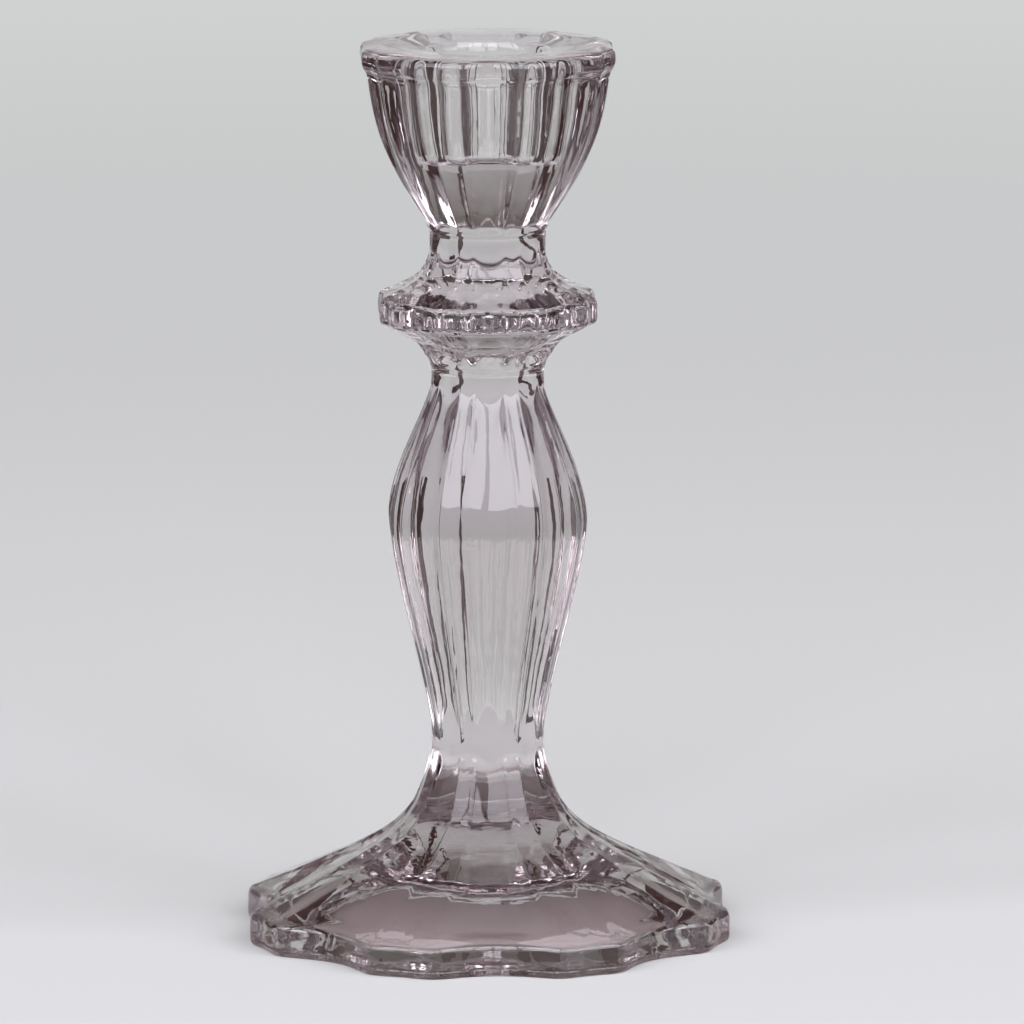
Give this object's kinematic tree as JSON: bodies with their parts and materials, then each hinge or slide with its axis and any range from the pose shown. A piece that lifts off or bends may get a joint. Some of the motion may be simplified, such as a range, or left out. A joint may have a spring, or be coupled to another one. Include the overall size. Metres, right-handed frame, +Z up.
{
  "type": "candlestick",
  "caption": "Pressed glass candlestick with a fluted bell cup, a scalloped knop ring, a fluted baluster stem and a wide scalloped foot, hollow underneath.",
  "frame": {"origin": "centre of the underside of the foot, on the plane that the candlestick stands on", "axes": "+Z up along the axis of the stem and the socket, -Y towards the middle of a wide hollow, which faces the front"},
  "size_m": [0.098, 0.098, 0.18],
  "materials": {
    "smoky_glass": "clear smoky mauve pressed glass, smooth and fire polished"
  },
  "bodies": {
    "root": {"foot": "smoky_glass", "stem": "smoky_glass", "collar": "smoky_glass", "candle_cup": "smoky_glass"}
  },
  "joints": []
}
